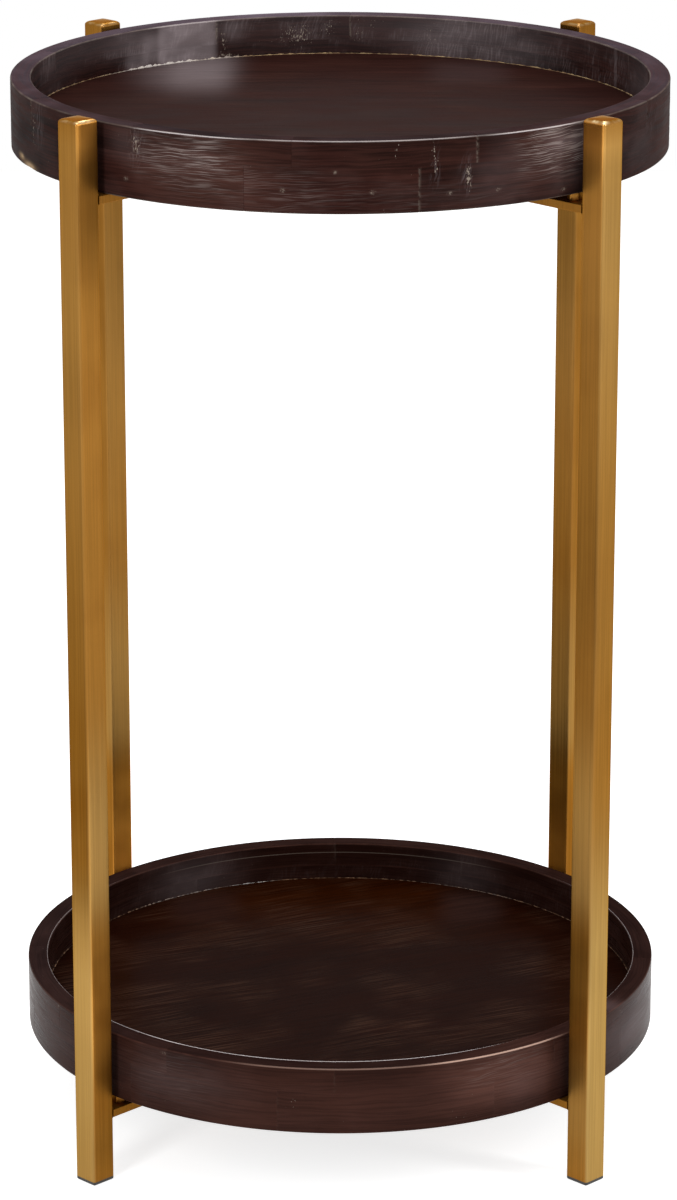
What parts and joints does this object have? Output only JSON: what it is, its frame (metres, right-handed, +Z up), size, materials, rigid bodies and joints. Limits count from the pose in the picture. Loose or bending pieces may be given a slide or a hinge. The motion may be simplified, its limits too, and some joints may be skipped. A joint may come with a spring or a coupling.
{
  "type": "tiered side table",
  "caption": "Round side table with two tray tiers, dark stained wooden trays with raised rims, on square gold-painted tube legs joined by crossing flat bars.",
  "frame": {"origin": "on the ground, at the middle of the four legs, which is the middle of both trays", "axes": "+Z up, along the table's height; the front, with its two nearer legs, faces -Y; +X to the right seen from the front"},
  "size_m": [0.381, 0.381, 0.635],
  "materials": {
    "gold_paint": "satin metallic gold paint",
    "stained_wood": "dark espresso stain under a satin lacquer, worn along the edges",
    "stained_panel": "dark espresso stain under a satin lacquer, straight open grain",
    "black_plastic": "matte moulded",
    "zinc_screws": "zinc plated"
  },
  "bodies": {
    "root": {"top_rim_upper_course": "stained_wood", "top_rim_lower_course": "stained_wood", "top_floor_panel": "stained_panel", "top_tray_screws_short": "zinc_screws", "top_tray_screws_long": "zinc_screws", "top_tray_spacers": "gold_paint", "top_centre_screw": "zinc_screws", "top_centre_washer": "zinc_screws", "top_centre_nut": "zinc_screws", "bottom_rim_upper_course": "stained_wood", "bottom_rim_lower_course": "stained_wood", "bottom_floor_panel": "stained_panel", "bottom_tray_screws_short": "zinc_screws", "bottom_tray_screws_long": "zinc_screws", "bottom_tray_spacers": "gold_paint", "bottom_centre_screw": "zinc_screws", "bottom_centre_washer": "zinc_screws", "bottom_centre_nut": "zinc_screws", "leg_front_left": "gold_paint", "leg_cap_front_left": "gold_paint", "foot_plug_front_left": "black_plastic", "leg_front_right": "gold_paint", "leg_cap_front_right": "gold_paint", "foot_plug_front_right": "black_plastic", "leg_back_right": "gold_paint", "leg_cap_back_right": "gold_paint", "foot_plug_back_right": "black_plastic", "leg_back_left": "gold_paint", "leg_cap_back_left": "gold_paint", "foot_plug_back_left": "black_plastic", "outer_frame_top_bar": "gold_paint", "inner_frame_top_bar": "gold_paint", "inner_frame_bottom_bar": "gold_paint", "outer_frame_bottom_bar": "gold_paint", "outer_frame_welds": "gold_paint", "inner_frame_welds": "gold_paint"}
  },
  "joints": []
}
